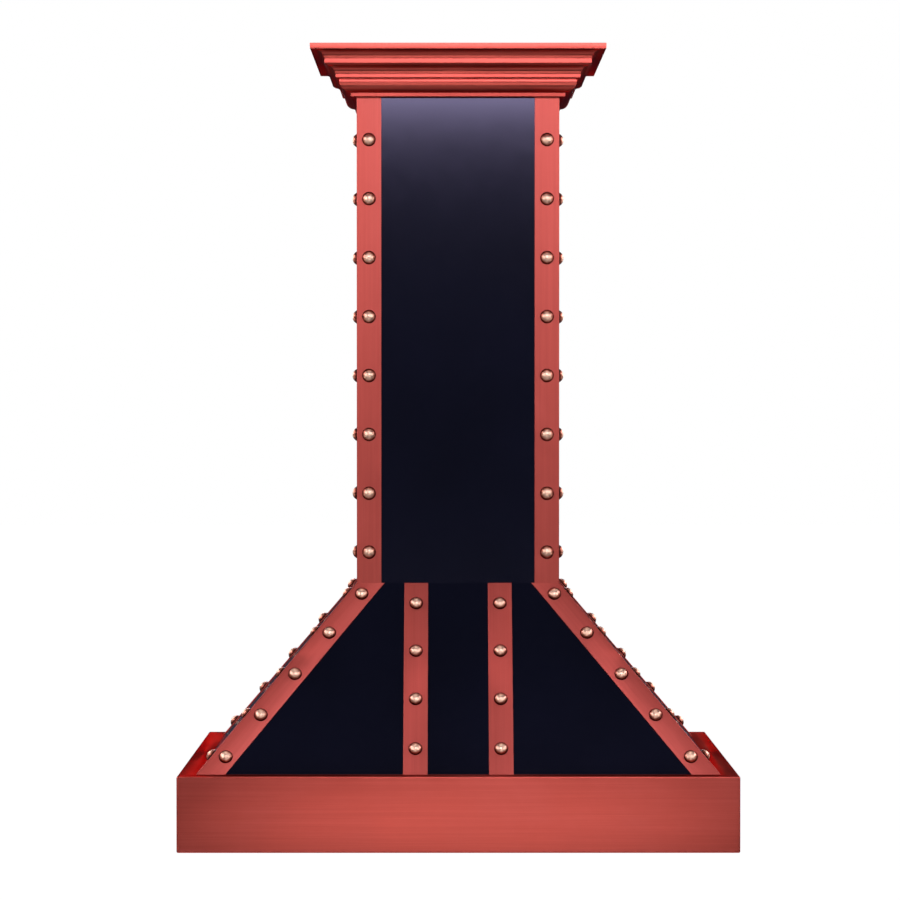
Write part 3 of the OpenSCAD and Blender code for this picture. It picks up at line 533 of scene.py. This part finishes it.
# ------------------------------------------------------------------ centre straps
def join(name, objs):
    bm = bmesh.new()
    for o in objs:
        bm.from_mesh(o.data)
        me = o.data
        bpy.data.objects.remove(o)
        bpy.data.meshes.remove(me)
    me = bpy.data.meshes.new(name)
    bm.to_mesh(me); bm.free()
    for p in me.polygons:
        p.use_smooth = True
    me.set_sharp_from_angle(angle=math.radians(28))
    return link(bpy.data.objects.new(name, me))
for side in (0, 1):
    o, x, v, n, L = face_frame(side)
    bars = []
    for s in (-1, 1):
        pts = fillet([(-CEN_W / 2, 0.03 * MM), (CEN_W / 2, 0.03 * MM), (CEN_W / 2, T), (-CEN_W / 2, T)], [0.1 * MM, 0.1 * MM, 0.45 * MM, 0.45 * MM], 4)
        sec = [x * a + n * b for a, b in pts]
        bars.append(cut_loft("bar", o + x * (s * CEN_X), v, sec, SK_H, CH_Z0, 10))
    node = "centre_straps_" + SIDES[side]
    finish_piece(join(node + "_copper", bars), "strap_copper", "hood", [node], v)

# ------------------------------------------------------------------ rivets
def add_rivet(bm, layer, origin, z_axis, seed):
    """Domed clavo: thin flared rim, hammered dome and a plain shank."""
    z = Vector(z_axis).normalized()
    x = z.orthogonal().normalized()
    a = (seed * 2.399963) % (2 * math.pi)
    y = z.cross(x)
    x, y = x * math.cos(a) + y * math.sin(a), y * math.cos(a) - x * math.sin(a)
    R, H = RIVET_R, RIVET_H
    sr = (R * R + H * H) / (2 * H)
    rings = [(2.0 * MM, -4.2 * MM, 0), (2.0 * MM, 0.0, 0), (R - 0.5 * MM, 0.0, 0), (R, 0.35 * MM, 0), (R, 0.75 * MM, 0.0)]
    a0 = math.asin(R * 0.975 / sr)
    nr = 9
    for k in range(nr):
        t = a0 * (1 - k / nr)
        rings.append((sr * math.sin(t), H - sr + sr * math.cos(t), 1))
    seg = 30
    prev = None
    sv = Vector((seed * 7.31, seed * 3.17, seed * 1.73))
    for r_, h, dome in rings:
        ring = []
        for i in range(seg):
            q = 2 * math.pi * i / seg
            rr, hh = r_, h
            if dome:
                p = Vector((r_ * math.cos(q), r_ * math.sin(q), h)) * 330.0 + sv
                k = noise.noise(p) * 0.22 * MM
                rr += k * (r_ / sr); hh += k * (1 - 0.5 * r_ / sr)
            v = bm.verts.new(origin + x * (rr * math.cos(q)) + y * (rr * math.sin(q)) + z * hh)
            # the dome height is stored so the rivet material can paint shade at the rim and a highlight on the crown
            v[layer] = max(0.0, min(1.0, h / H)) if dome else 0.0
            ring.append(v)
        if prev:
            for i in range(seg):
                j = (i + 1) % seg
                bm.faces.new((prev[i], prev[j], ring[j], ring[i]))
        else:
            bm.faces.new(ring[::-1])
        prev = ring
    top = bm.verts.new(origin + z * (H + noise.noise(sv) * 0.2 * MM))
    top[layer] = 1.0
    for i in range(seg):
        bm.faces.new((prev[i], prev[(i + 1) % seg], top))

def rivet_object(name, places, node):
    bm = bmesh.new()
    layer = bm.verts.layers.float.new("dome")
    for k, (o, z) in enumerate(places):
        add_rivet(bm, layer, o, z, k + 1)
    bmesh.ops.recalc_face_normals(bm, faces=bm.faces)
    me = bpy.data.meshes.new(name)
    bm.to_mesh(me); bm.free()
    for p in me.polygons:
        p.use_smooth = True
    me.set_sharp_from_angle(angle=math.radians(50))
    o = link(bpy.data.objects.new(name, me))
    return finish_piece(o, "rivet_copper", "hood", [node])

places = []
for sx in (-1, 1):
    for sy in (-1, 1):
        for k in range(8):
            z = (977.0 - 82.6 * k) * MM
            places.append((Vector((sx * (CH_W - STRAP_W) / 2, sy * CH_D / 2, z)), (0, sy, 0)))
            places.append((Vector((sx * CH_W / 2, sy * (CH_D - STRAP_W) / 2, z)), (sx, 0, 0)))
rivet_object("chimney_clavos", places, "chimney_rivets")
places = []
for side in range(4):
    o, x, v, n, L = face_frame(side)
    run = (BASE_X - TOP_X) if side < 2 else (BASE_Y - TOP_Y)
    for s in (-1, 1):
        for h in (236.7, 184.2, 129.6, 76.0, 21.9):
            q = h * MM * L / (CH_Z0 - SK_H)
            w = HIP_W / 2 / math.sin(math.atan(L / run))
            places.append((o + x * (s * (half_at(side, q, L) - w)) + v * q + n * T, n))
rivet_object("hip_clavos", places, "hip_rivets")
places = []
for side in (0, 1):
    o, x, v, n, L = face_frame(side)
    for s in (-1, 1):
        for h in (223.8, 160.2, 96.8, 32.3):
            places.append((o + x * (s * CEN_X) + v * (h * MM * L / (CH_Z0 - SK_H)) + n * T, n))
rivet_object("centre_clavos", places, "centre_rivets")

# ------------------------------------------------------------------ edges of the CAD nodes that show
def soften(node, width, angle=40):
    o = frame["nodes"][node]
    w = o.modifiers.new("weld", "WELD"); w.merge_threshold = 2e-6
    b = o.modifiers.new("bevel", "BEVEL")
    b.width = width; b.segments = 2; b.limit_method = "ANGLE"; b.angle_limit = math.radians(angle)
    b.harden_normals = False; b.use_clamp_overlap = True
    return o

for node, width in (("baffle_filter_left", 0.25 * MM), ("baffle_filter_right", 0.25 * MM), ("filter_latch_left", 0.4 * MM),
                    ("filter_latch_right", 0.4 * MM), ("lamp_housings", 0.3 * MM), ("ceiling_bracket", 0.3 * MM),
                    ("junction_box", 0.3 * MM), ("junction_cover", 0.25 * MM), ("control_housing", 0.3 * MM),
                    ("button_power", 0.35 * MM), ("button_slower", 0.35 * MM), ("button_faster", 0.35 * MM), ("button_light", 0.35 * MM)):
    soften(node, width)

# ------------------------------------------------------------------ stage
# the floor lies below the lowest camera, so that it never hides the underside
bpy.ops.mesh.primitive_plane_add(size=300, location=(0, 0, -5.2))
floor = bpy.context.object
floor.name = "floor"
fm, nt, bs = new_mat("floor_pale")
n = noise_tex(nt, mapped(nt, (1, 1, 1), "object"), 3.0, 3.0, 0.5)
nt.links.new(ramp(nt, n, [(0.3, (0.80, 0.80, 0.80)), (0.7, (0.84, 0.84, 0.84))]), bs.inputs["Base Color"])
bs.inputs["Roughness"].default_value = 0.9
bs.inputs["Emission Color"].default_value = (1, 1, 1, 1)
bs.inputs["Emission Strength"].default_value = 1.0
floor.data.materials.append(fm)
floor.visible_glossy = False

def softbox(name, loc, size, radiance, target=(0, 0, 0.7), color=(1, 1, 1)):
    l = bpy.data.lights.new(name, "AREA")
    l.shape = "RECTANGLE"
    l.size, l.size_y = size
    l.energy = radiance * math.pi * size[0] * size[1]
    l.color = color
    o = link(bpy.data.objects.new(name, l))
    o.location = loc
    o.rotation_euler = (Vector(target) - Vector(loc)).to_track_quat("-Z", "Y").to_euler()
    o.visible_camera = False
    return o

# one high and one low softbox on each side of the hood, a tall one at each corner, one overhead
for name, a in (("front", -90), ("right", 0), ("back", 90), ("left", 180)):
    c, s = math.cos(math.radians(a)), math.sin(math.radians(a))
    off = 0.18
    softbox("key_" + name, (2.3 * c - off * s, 2.3 * s + off * c, 1.56), (1.35, 0.64), 7.6, (-off * s, off * c, 1.45), (1.0, 0.95, 1.08))
    softbox("low_" + name, (2.3 * c - 0.05 * s, 2.3 * s + 0.05 * c, -0.24), (1.25, 0.34), 3.3, (-0.05 * s, 0.05 * c, 0.0), (1.0, 0.97, 0.95))
for name, a in (("front_right", -45), ("back_right", 45), ("back_left", 135), ("front_left", -135)):
    c, s = math.cos(math.radians(a)), math.sin(math.radians(a))
    softbox("tall_" + name, (2.4 * c, 2.4 * s, 1.10), (0.7, 1.2), 4.8, (0, 0, 1.0), (1.0, 0.97, 0.97))
softbox("top", (0, 0, 2.5), (1.5, 1.5), 1.9, (0, 0, 0))
softbox("under", (0, 0, -0.6), (1.9, 1.7), 0.75, (0, 0, 1))
for name, a in (("front", -90), ("right", 0), ("back", 90), ("left", 180)):
    c, s = math.cos(math.radians(a)), math.sin(math.radians(a))
    softbox("bounce_" + name, (2.9 * c, 2.9 * s, -0.6), (1.6, 1.5), 0.85, (2.9 * c, 2.9 * s, 1))

world = bpy.data.worlds.new("studio")
scene.world = world
world.use_nodes = True
nt = world.node_tree
nt.nodes.clear()
out = nt.nodes.new("ShaderNodeOutputWorld")
mixs = nt.nodes.new("ShaderNodeMixShader")
lp = nt.nodes.new("ShaderNodeLightPath")
bg_cam = nt.nodes.new("ShaderNodeBackground")
bg_env = nt.nodes.new("ShaderNodeBackground")
bg_cam.inputs[0].default_value = (1, 1, 1, 1)
bg_env.inputs[0].default_value = (0.55, 0.60, 1.0, 1)
bg_env.inputs[1].default_value = 0.05
nt.links.new(lp.outputs["Is Camera Ray"], mixs.inputs[0])
nt.links.new(bg_env.outputs[0], mixs.inputs[1])
nt.links.new(bg_cam.outputs[0], mixs.inputs[2])
nt.links.new(mixs.outputs[0], out.inputs[0])

# ------------------------------------------------------------------ camera
cam = bpy.data.cameras.new("camera")
cam.sensor_width = 36.0
cam.lens = 128.8
cam.clip_start, cam.clip_end = 0.1, 400
co = link(bpy.data.objects.new("camera", cam))
co.location = (-0.015, -(SK_D / 2 + 4.341), 0.6058)
tilt = math.atan((450.0 - 404.6) / 3220.0)
pan = math.atan((447.3 - 450.0) / 3220.0)
co.rotation_euler = (math.pi / 2 - tilt, 0, pan)
scene.camera = co
